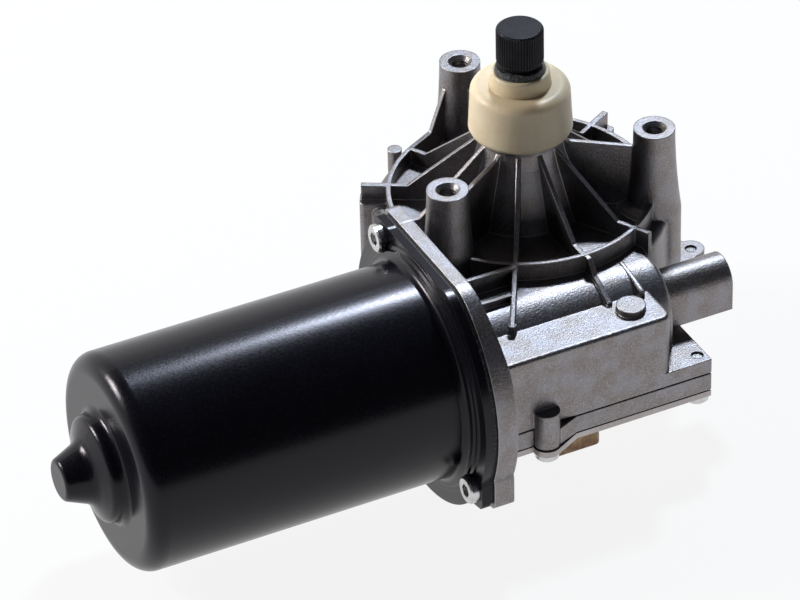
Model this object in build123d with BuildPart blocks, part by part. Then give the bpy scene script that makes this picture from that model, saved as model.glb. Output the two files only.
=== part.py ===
from build123d import *
from math import cos, pi, radians, sin, sqrt, tan
import os

os.makedirs("parts", exist_ok=True)

# Wiper motor. +Z runs up along the output shaft, the motor axis is parallel to X
# and the origin is on the output shaft, level with the tops of the mounting posts.

# Mounting posts
post_circle_r = 36.3
post_count = 3
post_flare = 2.5
post_flare_r = 6.2
post_flare_h = 5
post_first_angle = 90
post_top_r = 5.7
post_foot_r = 7.6
thread_hole_r = 2.5
thread_hole_depth = 16
thread_chamfer = 0.8

# Gear chamber and its ribbed roof
chamber_r = 40.8
chamber_wall = 3.2
roof_z = -25.5
basin_z = -24.8
roof_round = 2.5
roof_under_z = -30
rim_inset = 3.9
rim_wall = 1.2
rim_z = -20.3
hub_r = 11.2
hub_foot_r = 17.5
hub_z = -1
hub_neck_r = 9
hub_neck_z = 2.6
rib_wall = 1.3
rib_count = 12
rib_end_r = 1.2
rib_root = 6
rib_root_z = -16
rib_root_round = 1.5
rib_start_z = -3.2
rib_knee_r = 31.2
# Ribs outside the rim: outline of each by its angle, as radius and height
outer_ribs = {
    240: [(57, -26.6), (57, -30.3)],
    271: [(38.4, -20.6), (41.6, -24.4), (44, -25.4), (49.8, -28.3), (49.8, -30.3)],
    300: [(41.3, -20.3), (41.3, -29.5)],
}
# Gusset between the worm tube and the box, as distance and height from the motor axis
gusset_x = 10.5
gusset_outline = [(2, 13.1), (-9.2, 10.9), (-10.6, 8), (2, 8)]
web_hub_z = -4.2
web_post_z = -6.2

# Joint between the housing, the lower case and the base plate
case_z = -52.1
skirt_top_z = -47.8
gasket_t = 0.5
lower_case_t = 5.2
plate_gasket_t = 0.4
plate_t = 1.8
case_wall = 3

# Motor and worm axis
motor_y = -39
motor_z = -38.8

# Worm tube, its end and the box in front of it
tube_r = 13.3
tube_end_x = 19.5
tube_round = 2
tube_back = 20
nose_r = 6.4
nose_end_x = 41.2
nose_foot = 7.8
box_top_z = -29.3
box_front_y = -61.5
box_end_x = 13.8
box_wall = 2.8
box_corner = 3
box_round = 1.2
tab_end_x = 25.7
button_r = 4
button_t = 1.8
button_x = 5
button_y = -53.7

# Motor flange
flange_x = -47.3
flange_t = 5.8
flange_top_t = 3.4
recess_t = 1.2
flange_rim = 8.8
flange_round = 12
flange_slope_z = 17
ear_r = 5.4
ear_round = 2
ear_out = 6.4
ear_angles = [53.7, 212.5]

# Worm gear: one start, right hand
module = 1.2
tooth_count = 56
wheel_face = 10
worm_turns = 6
pressure_angle = 20
addendum = 1.1
dedendum = 1.35
backlash = 0.5

# Motor can
can_r = 30
can_wall = 1.8
can_end_x = -142.5
can_end_round = 5
can_flange_t = 2.4
can_ridge_rs = [2.6, 4.2]
can_ridge_t = 0.5
can_foot_round = 2
spot_gap = 0.3
can_gasket_t = 1
pocket_r = 14.5
pocket_x = -146.3
snout_r = 8.6
snout_end_r = 5.6
snout_foot_x = -148.8
snout_end_x = -156

# Can screws
can_screw_r = 2.4
can_head_r = 3.9
can_head_t = 2.6
screw_gap = 0.1

# Cover screws: place of each and the height that its tip reaches
cover_screw_r = 1.5
cover_head_r = 3.3
cover_head_t = 2.4
boss_r = 3.6
lobe_r = 3.9
lobe_inset = 0.6
lobe_start_x = -28
lobe_end_x = -15.5
lug_r = 3.8
lug_inset = 0.3
front_boss_x = -24.8
front_boss_y = -61.9
front_boss_top_z = -46.9
tab_screw_x = 23.2
tab_screw_y = -58.0
ear_screw_x = 46.1
ear_screw_y = -13.3
pin_boss_angle = 122
pin_boss_r = 2
pin_inset = 0.2

# Output shaft and what is on it
shaft_r = 6
shaft_head_r = 6.25
shaft_head_z = 20.2
shaft_top_z = 31.5
shaft_end_z = -50
shaft_gap = 0.04
bush_r = 8
bush_length = 11
washer_t = 0.8
ring_t = 1
ring_groove = 0.5
collar_r = 14.25
collar_top_r = 13.7
collar_top_z = 14
collar_neck_r = 8.5
collar_neck_top_r = 8
collar_neck_z = 18.2
collar_gap = 0.6
collar_cup_r = 11
collar_cup_z = 8
seal_r = 6.95

# Armature
armature_r = 4
journal_r = 3
bearing_r = 11
bearing_t = 7
bearing_x = -42
worm_bore_r = 7.5
core_start_x = -129
core_length = 46
slot_count = 12
air_gap = 0.8
magnet_t = 4.4
magnet_length = 58
magnet_count = 4
commutator_r = 11
commutator_x = -70
commutator_length = 14
brush_w = 5
brush_h = 7
brush_length = 7
brush_plate_gap = 0.6
brush_box_gap = 2.2
brush_plate_t = 2.5
running_gap = 0.05

# Connector
plug_x = -13.5
plug_y = -51
plug_w = 15.5
plug_d = 13
plug_z = -67.5
plug_wall = 1.5
blade_count = 4
blade_w = 2.2
blade_t = 0.7
blade_step = 2.8
plug_depth = 10
blade_recess = 5
plug_top_z = -54
carrier_x = -9
carrier_y = -42.3
carrier_w = 44
carrier_d = 29
carrier_t = 1.4
contact_radii = [16, 20, 24]
contact_step = 6
contact_w = 2.5

# Sizes that follow
motor_axis = Axis((0, motor_y, motor_z), (1, 0, 0))
flange_back_x = flange_x + flange_t
lower_case_z = case_z - gasket_t
lower_case_end_z = lower_case_z - lower_case_t
plate_z = lower_case_end_z - plate_gasket_t
plate_end_z = plate_z - plate_t
chamber_in_r = chamber_r - chamber_wall
rim_r = chamber_r - rim_inset
lug_circle_r = chamber_r - lug_inset
pin_circle_r = chamber_r - pin_inset
can_flange_x = flange_x - can_gasket_t - can_flange_t
can_foot_x = can_flange_x - 2 * can_ridge_t
can_in_r = can_r - can_wall
pitch = pi * module
wheel_pitch_r = module * tooth_count / 2
worm_pitch_r = -motor_y - wheel_pitch_r
worm_root_r = worm_pitch_r - dedendum
lead_angle = pitch / (2 * pi * worm_pitch_r)
post_angles = [post_first_angle + k * 360 / post_count for k in range(post_count)]
flange_r = can_r + flange_rim
ear_circle_r = can_r + ear_out
core_r = can_in_r - magnet_t - air_gap
slot_mid_r = core_r - 7.3
rear_bearing_x = pocket_x + can_wall


def save(piece, name):
    piece.part.label = name
    export_step(piece.part, f"parts/{name}.step")


def polar(radius, angle):
    return (radius * cos(radians(angle)), radius * sin(radians(angle)))


def radial_plane(angle):
    # Upright plane through the output axis: x is the radius and y is the height
    return Plane(origin=(0, 0, 0), x_dir=(*polar(1, angle), 0), z_dir=(*polar(1, angle - 90), 0))


def motor_plane(x):
    # Plane across the motor axis: x runs along +Y and y along +Z
    return Plane(origin=(x, motor_y, motor_z), x_dir=(0, 1, 0), z_dir=(1, 0, 0))


def axis_plane():
    # Upright plane along the motor axis: x runs along +X and y is the radius
    return Plane(origin=(0, motor_y, motor_z), x_dir=(1, 0, 0), z_dir=(0, -1, 0))


ear_places = [polar(ear_circle_r, angle) for angle in ear_angles]
lug_places = [polar(lug_circle_r, 30), polar(lug_circle_r, 150)]
cover_screw_places = [
    (front_boss_x, front_boss_y),
    (tab_screw_x, tab_screw_y),
    (ear_screw_x, ear_screw_y),
    *lug_places,
]


def case_outline():
    # Outline that the housing's skirt, the lower case and the base plate share
    Circle(chamber_r)
    with Locations((flange_back_x, box_front_y)):
        Rectangle(tab_end_x - flange_back_x, -box_front_y - 8, align=(Align.MIN, Align.MIN))
    for place in lug_places:
        with Locations(place):
            Circle(lug_r)
    for angle in post_angles:
        with Locations(polar(post_circle_r, angle)):
            Circle(post_foot_r)
    Polygon((30, -26), (ear_screw_x, ear_screw_y - lug_r), (ear_screw_x, ear_screw_y + lug_r), (34, 2), align=None)
    with Locations((ear_screw_x, ear_screw_y)):
        Circle(lug_r)


def cavity_outline():
    # Inside of the lower case: under the wheel and under the box
    Circle(chamber_in_r - 1)
    with Locations((flange_back_x + case_wall, box_front_y + case_wall + 1.2)):
        Rectangle(box_end_x - flange_back_x - case_wall, 30, align=(Align.MIN, Align.MIN))


def boss_lobe(radius):
    # Swelling of the lower edges around the front boss
    with BuildSketch(mode=Mode.PRIVATE) as lobe:
        with Locations((front_boss_x, front_boss_y)):
            Circle(radius)
        with Locations((lobe_start_x, box_front_y)):
            Rectangle(lobe_end_x - lobe_start_x, 1, align=(Align.MIN, Align.MIN))
        make_hull()
    add(lobe.sketch_local)


def flange_outline(inset):
    # Round flange with a flat top, level with the upper of its two squared screw ears
    with BuildSketch(mode=Mode.PRIVATE) as disc:
        Circle(flange_r - inset)
        with Locations((0, ear_places[0][1] + ear_r - inset)):
            Rectangle(2 * flange_r, flange_r, align=(Align.CENTER, Align.MIN), mode=Mode.SUBTRACT)
        fillet(disc.vertices().sort_by(Axis.X)[0], flange_round)
    add(disc.sketch_local)
    for place in ear_places:
        with BuildSketch(mode=Mode.PRIVATE) as ear:
            with Locations(place):
                RectangleRounded(2 * (ear_r - inset), 2 * (ear_r - inset), ear_round)
            Circle(can_r + 1)
            make_hull()
        add(ear.sketch_local)


# Gear housing: aluminium casting with chamber, ribbed roof, worm tube, box and flange
with BuildPart() as gear_housing:
    with BuildSketch(Plane.XY.offset(case_z)):
        Circle(chamber_r)
    extrude(amount=roof_z - case_z)
    fillet(gear_housing.edges().group_by(Axis.Z)[-1], roof_round)
    with BuildSketch(Plane.XY.offset(basin_z - 1)):
        Circle(rim_r)
    extrude(amount=rim_z - basin_z + 1)
    with BuildSketch(Plane.XY.offset(basin_z)):
        Circle(rim_r - rim_wall)
    extrude(amount=rim_z - basin_z + 1, mode=Mode.SUBTRACT)

    # Hub, from its cone to the neck under the collar
    with BuildSketch(Plane.XZ):
        with BuildLine():
            Polyline(
                (0, roof_under_z),
                (hub_foot_r, roof_under_z),
                (hub_foot_r, basin_z),
                (hub_r + 0.8, rib_start_z - 4),
                (hub_r, rib_start_z),
                (hub_r, hub_z),
                (hub_neck_r, hub_z),
                (hub_neck_r, hub_neck_z),
                (0, hub_neck_z),
                close=True,
            )
        make_face()
    revolve(axis=Axis.Z)

    # Radial ribs, and higher webs to the posts
    for k in range(rib_count):
        angle = k * 360 / rib_count
        to_post = angle in post_angles
        with BuildSketch(radial_plane(angle)):
            with BuildLine():
                if to_post:
                    Polyline(
                        (hub_r - 2, basin_z - 1),
                        (hub_r - 2, web_hub_z),
                        (post_circle_r - 2, web_post_z),
                        (post_circle_r - 2, basin_z - 1),
                        close=True,
                    )
                else:
                    Polyline(
                        (hub_r - 2, basin_z - 1),
                        (hub_r - 2, rib_start_z + 0.2),
                        (hub_r, rib_start_z),
                        (rib_knee_r, rim_z),
                        (rim_r - 0.3, rim_z),
                        (rim_r - 0.3, basin_z - 1),
                        close=True,
                    )
            make_face()
        extrude(amount=rib_wall / 2, both=True)

    # Rounded pockets where the ribs meet the hub, cut to the slope of the ribs
    rib_slope = (rim_z - rib_start_z) / (rib_knee_r - hub_r)
    cut_r = hub_r + rib_root + 1
    with BuildPart(mode=Mode.PRIVATE) as rib_roots:
        with BuildSketch(Plane.XY.offset(rib_root_z)):
            Circle(hub_r - 0.6)
            with PolarLocations(0, rib_count):
                Rectangle(hub_r + rib_root, rib_wall, align=(Align.MIN, Align.CENTER))
            fillet([v for v in vertices() if sqrt(v.X**2 + v.Y**2) < hub_r], rib_root_round)
        extrude(amount=rib_start_z - rib_root_z)
        with BuildSketch(Plane.XZ):
            Polygon(
                (hub_r, rib_start_z),
                (cut_r, rib_start_z + (cut_r - hub_r) * rib_slope),
                (cut_r, rib_start_z + 1),
                (hub_r, rib_start_z + 1),
                align=None,
            )
        revolve(axis=Axis.Z, mode=Mode.SUBTRACT)
    add(rib_roots.part)

    # Posts with flared feet that run down the chamber wall
    for angle in post_angles:
        x, y = polar(post_circle_r, angle)
        with BuildSketch(Plane(origin=(x, y, 0), x_dir=(1, 0, 0), z_dir=(0, -1, 0))):
            with BuildLine():
                Line((0, 0), (post_top_r, 0))
                Line((post_top_r, 0), (post_top_r + 0.1, -5))
                ThreePointArc((post_top_r + 0.1, -5), (post_top_r + 0.7, -15), (post_foot_r, roof_z))
                Line((post_foot_r, roof_z), (post_foot_r, case_z))
                Line((post_foot_r, case_z), (0, case_z))
                Line((0, case_z), (0, 0))
            make_face()
        revolve(axis=Axis((x, y, 0), (0, 0, 1)))

    # Flares where the posts stand in the basin
    with BuildPart(mode=Mode.PRIVATE) as flares:
        for angle in post_angles:
            x, y = polar(post_circle_r, angle)
            with BuildSketch(Plane(origin=(x, y, 0), x_dir=(1, 0, 0), z_dir=(0, -1, 0))):
                with BuildLine():
                    foot = (post_foot_r + post_flare, basin_z + 0.2)
                    start = (post_flare_r, basin_z + post_flare_h)
                    RadiusArc(start, foot, -post_flare_h)
                    Polyline(foot, (foot[0], basin_z - 0.2), (1, basin_z - 0.2), (1, start[1]), start)
                make_face()
            revolve(axis=Axis((x, y, 0), (0, 0, 1)))
        with BuildSketch(Plane.XY.offset(basin_z - 0.2)):
            Circle(rim_r - rim_wall / 2)
        extrude(amount=post_flare_h + 2, mode=Mode.INTERSECT)
    add(flares.part)

    # Fin from the back post down to the rim
    fin_start = polar(post_circle_r, post_first_angle)
    fin_end = polar(rim_r - rim_wall / 2, 120)
    fin_length = sqrt((fin_end[0] - fin_start[0]) ** 2 + (fin_end[1] - fin_start[1]) ** 2)
    fin_dir = ((fin_end[0] - fin_start[0]) / fin_length, (fin_end[1] - fin_start[1]) / fin_length)
    with BuildSketch(Plane(origin=(*fin_start, 0), x_dir=(*fin_dir, 0), z_dir=(fin_dir[1], -fin_dir[0], 0))):
        with BuildLine():
            Polyline((3, -6.5), (6, -6.8), (11.4, -18.4), (fin_length, rim_z), (fin_length, basin_z), (3, basin_z), close=True)
        make_face()
    extrude(amount=rib_wall / 2, both=True)

    # Worm tube with a flat roof back to the chamber, the block under it and a rounded end
    with BuildPart(mode=Mode.PRIVATE) as tube:
        with BuildSketch(motor_plane(flange_back_x)):
            Circle(tube_r)
            with Locations((-tube_r, case_z - motor_z)):
                Rectangle(tube_r + tube_back, -case_z + motor_z, align=(Align.MIN, Align.MIN))
            with Locations((0, case_z - motor_z)):
                Rectangle(tube_back, roof_z - case_z, align=(Align.MIN, Align.MIN))
        extrude(amount=tube_end_x - flange_back_x)
        end_edges = tube.edges().filter_by_position(Axis.X, tube_end_x - 0.01, tube_end_x + 0.01)
        outer_edges = end_edges.filter_by_position(Axis.Z, case_z + 1, 0)
        fillet(outer_edges.filter_by_position(Axis.Y, motor_y - tube_r - 1, motor_y + tube_back - 1), tube_round)
    add(tube.part)

    # Box in front of the worm tube
    with BuildSketch(Plane.XY.offset(case_z)):
        with Locations((flange_back_x, box_front_y)):
            box = Rectangle(box_end_x - flange_back_x, motor_y - box_front_y, align=(Align.MIN, Align.MIN))
        fillet(box.vertices().sort_by(Axis.Y)[:2].sort_by(Axis.X)[-1], box_corner)
    extrude(amount=box_top_z - case_z)
    box_edges = gear_housing.edges().filter_by_position(Axis.Z, box_top_z - 0.1, box_top_z + 0.1)
    fillet(box_edges.filter_by_position(Axis.Y, box_front_y - 0.1, box_front_y + box_corner + 0.1), box_round)

    # Skirt with its tab and ears
    with BuildSketch(Plane.XY.offset(case_z)):
        case_outline()
    extrude(amount=skirt_top_z - case_z)

    # Lugs beside the rim, front boss, pin boss and the button on the box
    for angle, place in zip((30, 150), lug_places):
        with BuildSketch(Plane.XY.offset(case_z)):
            with Locations(Location((*place, 0), (0, 0, angle))):
                RectangleRounded(2 * lug_r, 2 * lug_r - 1, 1.5)
        extrude(amount=basin_z - case_z)
        with BuildSketch(radial_plane(angle)):
            with Locations((rim_r - 1, roof_z - 2)):
                Rectangle(lug_circle_r + lug_r - rim_r + 0.6, rim_z - roof_z + 2, align=(Align.MIN, Align.MIN))
        extrude(amount=rib_wall / 2 + 0.2, both=True)
    with BuildSketch(Plane.XY.offset(roof_under_z)):
        with Locations(polar(pin_circle_r, pin_boss_angle)):
            Circle(pin_boss_r)
    extrude(amount=rim_z - 1 - roof_under_z)
    with BuildSketch(Plane.XY.offset(lower_case_end_z)):
        with Locations((front_boss_x, front_boss_y)):
            Circle(boss_r)
    extrude(amount=front_boss_top_z - lower_case_end_z)
    with BuildSketch(Plane.XY.offset(box_top_z - 1)):
        with Locations((button_x, button_y)):
            Circle(button_r)
    extrude(amount=button_t + 1)

    # End of the worm tube: a round roof on upright sides
    with BuildSketch(motor_plane(tube_end_x - 1)):
        Circle(nose_r)
        with Locations((-nose_r, -nose_foot)):
            Rectangle(2 * nose_r, nose_foot, align=(Align.MIN, Align.MIN))
    extrude(amount=nose_end_x - tube_end_x + 1)

    # Ribs outside the rim, over the worm tube and from the flange to the rim
    for angle, outline in outer_ribs.items():
        with BuildSketch(radial_plane(angle)):
            Polygon((rim_r - 1, roof_z - 4), (rim_r - 1, rim_z), *outline, align=None)
        extrude(amount=rib_wall / 2, both=True)
    with BuildSketch(motor_plane(gusset_x)):
        Polygon(*gusset_outline, align=None)
    extrude(amount=rib_wall / 2, both=True)
    with BuildSketch(Plane.XY.offset(box_top_z - 1)):
        with Locations(polar(outer_ribs[240][0][0] - rib_end_r, 240)):
            Circle(rib_end_r)
    extrude(amount=outer_ribs[240][0][1] - box_top_z + 1)
    for y, top in ((-32.3, rim_z), (-39.5, roof_z + 2)):
        with BuildSketch(Plane.XZ.offset(-y)):
            with Locations((flange_back_x - 1, roof_z - 3)):
                Rectangle(polar(-y / sin(radians(60)), 240)[0] - flange_back_x + 1.2, top - roof_z + 3, align=(Align.MIN, Align.MIN))
        extrude(amount=rib_wall / 2, both=True)

    # Motor flange with two screw ears, thinner towards its top
    with BuildPart(mode=Mode.PRIVATE) as flange:
        with BuildSketch(motor_plane(flange_x)):
            flange_outline(0)
        extrude(amount=flange_t)
        with BuildSketch(axis_plane()):
            Polygon(
                (flange_x + flange_top_t, flange_r),
                (flange_back_x, flange_slope_z),
                (flange_back_x, flange_r),
                align=None,
            )
        extrude(amount=flange_r + ear_r, both=True, mode=Mode.SUBTRACT)
    add(flange.part)

    # Inside: chamber, box, worm bore, bearing seat, brush recess and shaft bore
    with BuildSketch(Plane.XY.offset(case_z)):
        Circle(chamber_in_r)
    extrude(amount=roof_under_z - case_z, mode=Mode.SUBTRACT)
    with BuildSketch(Plane.XZ):
        with BuildLine():
            Polyline(
                (0, roof_under_z - 1),
                (hub_foot_r - case_wall, roof_under_z - 1),
                (hub_foot_r - case_wall, roof_under_z),
                (bush_r + 2, roof_under_z + 6),
                (0, roof_under_z + 6),
                close=True,
            )
        make_face()
    revolve(axis=Axis.Z, mode=Mode.SUBTRACT)
    with BuildSketch(Plane.XY.offset(case_z)):
        with Locations((flange_back_x + box_wall, box_front_y + box_wall)):
            Rectangle(
                box_end_x - flange_back_x - 2 * box_wall,
                motor_y - tube_r + 2.2 - box_front_y - box_wall,
                align=(Align.MIN, Align.MIN),
            )
    extrude(amount=box_top_z - box_wall - case_z, mode=Mode.SUBTRACT)
    with BuildSketch(motor_plane(flange_x)):
        Circle(worm_bore_r)
    extrude(amount=tube_end_x - flange_x, mode=Mode.SUBTRACT)
    with BuildSketch(motor_plane(flange_x)):
        Circle(bearing_r)
    extrude(amount=bearing_x + bearing_t - flange_x, mode=Mode.SUBTRACT)
    with BuildSketch(motor_plane(flange_x)):
        Circle(can_in_r - 4)
    extrude(amount=recess_t, mode=Mode.SUBTRACT)
    with BuildSketch(motor_plane(tube_end_x)):
        Circle(nose_r - 1.6)
    extrude(amount=nose_end_x - tube_end_x - 3, mode=Mode.SUBTRACT)
    with BuildSketch(Plane.XY.offset(roof_under_z)):
        Circle(bush_r)
    extrude(amount=hub_neck_z - roof_under_z, mode=Mode.SUBTRACT)

    # Screw holes
    with BuildSketch(motor_plane(flange_x)):
        with Locations(*ear_places):
            Circle(can_screw_r + screw_gap)
    extrude(amount=flange_t, mode=Mode.SUBTRACT)
    with BuildSketch(Plane.XY.offset(lower_case_end_z)):
        with Locations(*cover_screw_places):
            Circle(cover_screw_r + screw_gap)
    extrude(amount=skirt_top_z - lower_case_end_z, mode=Mode.SUBTRACT)
    with Locations(*[(*polar(post_circle_r, angle), 0) for angle in post_angles]):
        CounterSinkHole(thread_hole_r, thread_hole_r + thread_chamfer, depth=thread_hole_depth, counter_sink_angle=90)
save(gear_housing, "gear_housing")

# Seal between the housing and the lower case
with BuildPart() as case_gasket:
    with BuildSketch(Plane.XY.offset(lower_case_z)):
        case_outline()
        offset(amount=-0.4)
        with Locations(*cover_screw_places):
            Circle(cover_screw_r + screw_gap, mode=Mode.SUBTRACT)
        with Locations((front_boss_x, front_boss_y)):
            Circle(boss_r + screw_gap, mode=Mode.SUBTRACT)
        with BuildSketch(mode=Mode.PRIVATE) as cavity:
            cavity_outline()
        add(cavity.sketch, mode=Mode.SUBTRACT)
    extrude(amount=gasket_t)
save(case_gasket, "case_gasket")

# Lower case: shallow cast tray that closes the chamber and the box
with BuildPart() as lower_case:
    with BuildSketch(Plane.XY.offset(lower_case_end_z)):
        case_outline()
        with Locations(*cover_screw_places):
            Circle(cover_screw_r + screw_gap, mode=Mode.SUBTRACT)
        with Locations((front_boss_x, front_boss_y)):
            Circle(boss_r + screw_gap, mode=Mode.SUBTRACT)
    extrude(amount=lower_case_t)
    with BuildSketch(Plane.XY.offset(lower_case_end_z)):
        boss_lobe(lobe_r - lobe_inset)
        with Locations((front_boss_x, front_boss_y)):
            Circle(boss_r + screw_gap, mode=Mode.SUBTRACT)
    extrude(amount=lower_case_t)
    with BuildSketch(Plane.XY.offset(lower_case_end_z + 1.6)):
        cavity_outline()
    extrude(amount=lower_case_t, mode=Mode.SUBTRACT)
    with BuildSketch(Plane.XY.offset(lower_case_end_z)):
        with Locations((plug_x, plug_y)):
            RectangleRounded(plug_w + 0.2, plug_d + 0.2, 2)
    extrude(amount=lower_case_t, mode=Mode.SUBTRACT)
save(lower_case, "lower_case")

# Seal between the lower case and the base plate, and the plate
for name, bottom, height, inset in (
    ("plate_gasket", plate_z, plate_gasket_t, 0.6),
    ("base_plate", plate_end_z, plate_t, 0),
):
    with BuildPart() as layer:
        with BuildSketch(Plane.XY.offset(bottom)):
            case_outline()
            boss_lobe(lobe_r)
            if inset:
                offset(amount=-inset)
            with Locations(*cover_screw_places):
                Circle(cover_screw_r + screw_gap, mode=Mode.SUBTRACT)
            with Locations((plug_x, plug_y)):
                RectangleRounded(plug_w + 0.2, plug_d + 0.2, 2, mode=Mode.SUBTRACT)
        extrude(amount=height)
    save(layer, name)

# Cover screws, driven from below
for index, place in enumerate(cover_screw_places, start=1):
    tip_z = skirt_top_z - 0.6
    with BuildPart() as cover_screw:
        with BuildSketch(Plane.XY.offset(plate_end_z)):
            with Locations(place):
                Circle(cover_screw_r)
        extrude(amount=tip_z - plate_end_z)
        with BuildSketch(Plane.XY.offset(plate_end_z - cover_head_t)):
            with Locations(place):
                Circle(cover_head_r)
        extrude(amount=cover_head_t)
        chamfer(cover_screw.edges().group_by(Axis.Z)[0], 0.6)
        with BuildSketch(Plane.XY.offset(plate_end_z - cover_head_t)):
            with Locations(place):
                RegularPolygon(1.6, 6)
        extrude(amount=1.3, mode=Mode.SUBTRACT)
    save(cover_screw, f"cover_screw_{index}")

# Motor can: deep-drawn steel with a bearing pocket, a snout and a screw flange
with BuildPart() as motor_can:
    with BuildSketch(axis_plane()):
        with BuildLine():
            Polyline(
                (can_flange_x, 0),
                (can_flange_x, can_r),
                (can_end_x, can_r),
                (can_end_x, pocket_r + 0.6),
                (pocket_x, pocket_r),
                (snout_foot_x, snout_r),
                (snout_end_x, snout_end_r),
                (snout_end_x, 0),
                close=True,
            )
        make_face()
        for place, round_r in (
            ((can_end_x, can_r), can_end_round),
            ((can_end_x, pocket_r + 0.6), 2),
            ((pocket_x, pocket_r), 2),
            ((snout_foot_x, snout_r), 3.5),
            ((snout_end_x, snout_end_r), 1.4),
        ):
            fillet(vertices().sort_by_distance(Vertex(*place))[0], round_r)
    revolve(axis=motor_axis)
    with BuildSketch(motor_plane(can_flange_x)):
        flange_outline(0.6)
    extrude(amount=can_flange_t)
    with BuildSketch(axis_plane()):
        with BuildLine():
            Polyline(
                (can_foot_x, can_r + can_ridge_rs[0]),
                (can_foot_x + can_ridge_t, can_r + can_ridge_rs[0] + 0.4),
                (can_foot_x + can_ridge_t, can_r + can_ridge_rs[1]),
                (can_flange_x + 0.1, can_r + can_ridge_rs[1] + 0.4),
                (can_flange_x + 0.1, can_r - 0.5),
                (can_foot_x - can_foot_round, can_r - 0.5),
                (can_foot_x - can_foot_round, can_r),
            )
            RadiusArc((can_foot_x, can_r + can_foot_round), (can_foot_x - can_foot_round, can_r), can_foot_round)
            Line((can_foot_x, can_r + can_foot_round), (can_foot_x, can_r + can_ridge_rs[0]))
        make_face()
    revolve(axis=motor_axis)
    with BuildSketch(motor_plane(can_flange_x)):
        with Locations(*ear_places):
            Circle(can_head_r + spot_gap)
    extrude(amount=-can_ridge_t * 2 - can_foot_round, mode=Mode.SUBTRACT)
    with BuildSketch(axis_plane()):
        with BuildLine():
            Polyline(
                (can_flange_x + can_flange_t, 0),
                (can_flange_x + can_flange_t, can_in_r),
                (can_end_x + can_wall + 3.5, can_in_r),
                (can_end_x + can_wall, can_in_r - 3.5),
                (can_end_x + can_wall, pocket_r - can_wall),
                (pocket_x + can_wall, pocket_r - can_wall - 0.6),
                (pocket_x + can_wall, snout_r - can_wall),
                (snout_end_x + can_wall, snout_end_r - can_wall),
                (snout_end_x + can_wall, 0),
                close=True,
            )
        make_face()
    revolve(axis=motor_axis, mode=Mode.SUBTRACT)
    with BuildSketch(motor_plane(can_flange_x)):
        with Locations(*ear_places):
            Circle(can_screw_r + screw_gap)
    extrude(amount=can_flange_t, mode=Mode.SUBTRACT)
save(motor_can, "motor_can")

# Gasket between the can and the housing
with BuildPart() as can_gasket:
    with BuildSketch(motor_plane(flange_x - can_gasket_t)):
        flange_outline(1)
        Circle(can_in_r, mode=Mode.SUBTRACT)
        with Locations(*ear_places):
            Circle(can_screw_r + screw_gap, mode=Mode.SUBTRACT)
    extrude(amount=can_gasket_t)
save(can_gasket, "can_gasket")

# Can screws with hexagon sockets
for name, place in zip(("can_screw_upper", "can_screw_lower"), ear_places):
    with BuildPart() as can_screw:
        with BuildSketch(motor_plane(can_flange_x)):
            with Locations(place):
                Circle(can_screw_r)
        extrude(amount=flange_x + flange_top_t - can_flange_x)
        with BuildSketch(motor_plane(can_flange_x - can_head_t)):
            with Locations(place):
                Circle(can_head_r)
        extrude(amount=can_head_t)
        chamfer(can_screw.edges().group_by(Axis.X)[0], 0.5)
        with BuildSketch(motor_plane(can_flange_x - can_head_t)):
            with Locations(place):
                RegularPolygon(2, 6)
        extrude(amount=can_head_t - 0.8, mode=Mode.SUBTRACT)
    save(can_screw, name)

# Sintered bushes that carry the output shaft
for name, start in (("upper_bush", hub_neck_z - bush_length), ("lower_bush", roof_under_z + 6)):
    with BuildPart() as bush:
        with BuildSketch(Plane.XY.offset(start)):
            Circle(bush_r)
            Circle(shaft_r + shaft_gap, mode=Mode.SUBTRACT)
        extrude(amount=bush_length)
    save(bush, name)

# Output shaft with a knurled head, a groove for the retaining ring and a plain foot
washer_z = hub_neck_z + running_gap
groove_z = washer_z + washer_t
with BuildPart() as output_shaft:
    with BuildSketch(Plane.XZ):
        with BuildLine():
            Polyline(
                (0, shaft_end_z),
                (shaft_r, shaft_end_z),
                (shaft_r, groove_z),
                (shaft_r - ring_groove, groove_z),
                (shaft_r - ring_groove, groove_z + ring_t),
                (shaft_r, groove_z + ring_t),
                (shaft_r, shaft_head_z - 1.6),
                (shaft_r - 0.5, shaft_head_z - 1.6),
                (shaft_r - 0.5, shaft_head_z),
                (shaft_head_r, shaft_head_z + 1),
                (shaft_head_r, shaft_top_z),
                (0, shaft_top_z),
                close=True,
            )
        make_face()
    revolve(axis=Axis.Z)
    chamfer(output_shaft.edges().group_by(Axis.Z)[-1], 0.4)
    chamfer(output_shaft.edges().group_by(Axis.Z)[0], 0.6)
save(output_shaft, "output_shaft")

# Thrust washer and retaining ring on top of the hub
with BuildPart() as thrust_washer:
    with BuildSketch(Plane.XY.offset(washer_z)):
        Circle(hub_neck_r)
        Circle(shaft_r, mode=Mode.SUBTRACT)
    extrude(amount=washer_t)
save(thrust_washer, "thrust_washer")

with BuildPart() as retaining_ring:
    with BuildSketch(Plane.XY.offset(groove_z)):
        Circle(shaft_r + 1.8)
        Circle(shaft_r - ring_groove, mode=Mode.SUBTRACT)
        with Locations((shaft_r, 0)):
            Rectangle(6, 3, mode=Mode.SUBTRACT)
    extrude(amount=ring_t)
save(retaining_ring, "retaining_ring")

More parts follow.
